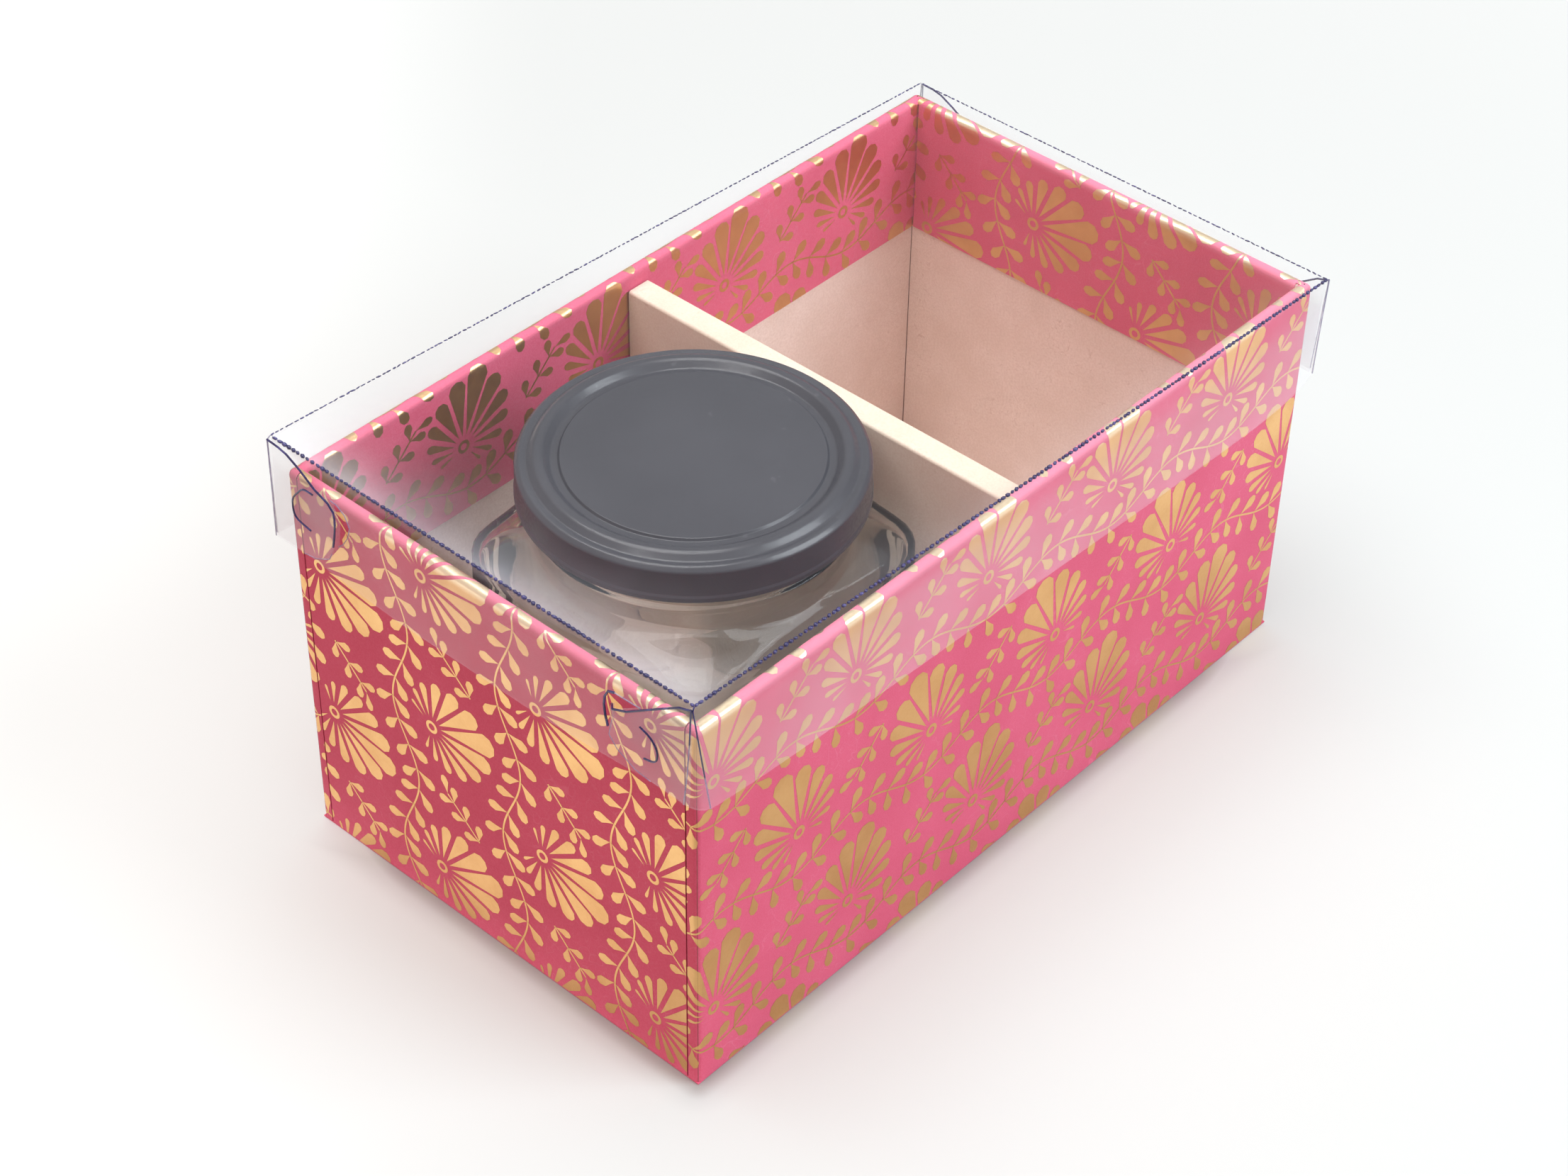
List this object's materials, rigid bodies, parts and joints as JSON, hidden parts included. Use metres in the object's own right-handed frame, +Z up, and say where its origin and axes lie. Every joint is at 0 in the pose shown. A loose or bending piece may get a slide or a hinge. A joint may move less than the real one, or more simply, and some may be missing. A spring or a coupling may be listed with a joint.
{
  "type": "hamper box",
  "caption": "Rectangular board gift box covered in foil-printed paper, with a card divider, a capped square glass jar and a clear folded lid.",
  "frame": {"origin": "middle of the underside of the box, on the surface it stands on", "axes": "+X along the length, from the jar to the empty compartment; +Y across, away from the front long side; +Z up"},
  "size_m": [0.2076, 0.1194, 0.1093],
  "materials": {
    "board": "matte",
    "tape": "matte",
    "paper": "satin",
    "card": "matte",
    "glass": "gloss",
    "lacquer": "satin",
    "compound": "matte",
    "clear_sheet": "gloss"
  },
  "bodies": {
    "tray": {"floor_board": "board", "front_wall_board": "board", "back_wall_board": "board", "left_wall_board": "board", "right_wall_board": "board", "front_left_corner_tape": "tape", "front_right_corner_tape": "tape", "back_right_corner_tape": "tape", "back_left_corner_tape": "tape", "base_cover_paper": "paper", "front_cover_paper": "paper", "back_cover_paper": "paper", "left_cover_paper": "paper", "right_cover_paper": "paper", "divider": "card"},
    "jar": {"jar_base": "glass", "jar_glass": "glass"},
    "cap": {"jar_cap": "lacquer", "cap_liner": "compound"},
    "lid": {"lid_top": "clear_sheet", "lid_front_skirt": "clear_sheet", "lid_back_skirt": "clear_sheet", "lid_left_skirt": "clear_sheet", "lid_right_skirt": "clear_sheet"},
    "front_left_tongue": {"lid_front_left_tongue": "clear_sheet"},
    "front_right_tongue": {"lid_front_right_tongue": "clear_sheet"},
    "back_right_tongue": {"lid_back_right_tongue": "clear_sheet"},
    "back_left_tongue": {"lid_back_left_tongue": "clear_sheet"}
  },
  "joints": [
    {"name": "jar_lift", "type": "slide", "parent": "tray", "child": "jar", "axis": [0, 0, 1], "range_m": [0, 0.11]},
    {"name": "cap_turn", "type": "hinge", "parent": "jar", "child": "cap", "pos_m": [-0.0419, -0.0024, 0.10465], "axis": [0, 0, 1], "range_deg": [0, 45]},
    {"name": "lid_lift", "type": "slide", "parent": "jar", "child": "lid", "axis": [0, 0, 1], "range_m": [0, 0.13]},
    {"name": "front_left_tongue_fold", "type": "hinge", "parent": "lid", "child": "front_left_tongue", "pos_m": [-0.10275, -0.05965, 0.10898], "axis": [0.0431, 0, 0.9991], "range_deg": [0, 90]},
    {"name": "front_right_tongue_fold", "type": "hinge", "parent": "lid", "child": "front_right_tongue", "pos_m": [0.10383, -0.05965, 0.10007], "axis": [-0.0431, 0, -0.9991], "range_deg": [0, 90]},
    {"name": "back_right_tongue_fold", "type": "hinge", "parent": "lid", "child": "back_right_tongue", "pos_m": [0.10383, 0.05965, 0.10007], "axis": [0.0431, 0, 0.9991], "range_deg": [0, 90]},
    {"name": "back_left_tongue_fold", "type": "hinge", "parent": "lid", "child": "back_left_tongue", "pos_m": [-0.10275, 0.05965, 0.10898], "axis": [-0.0431, 0, -0.9991], "range_deg": [0, 90]}
  ]
}
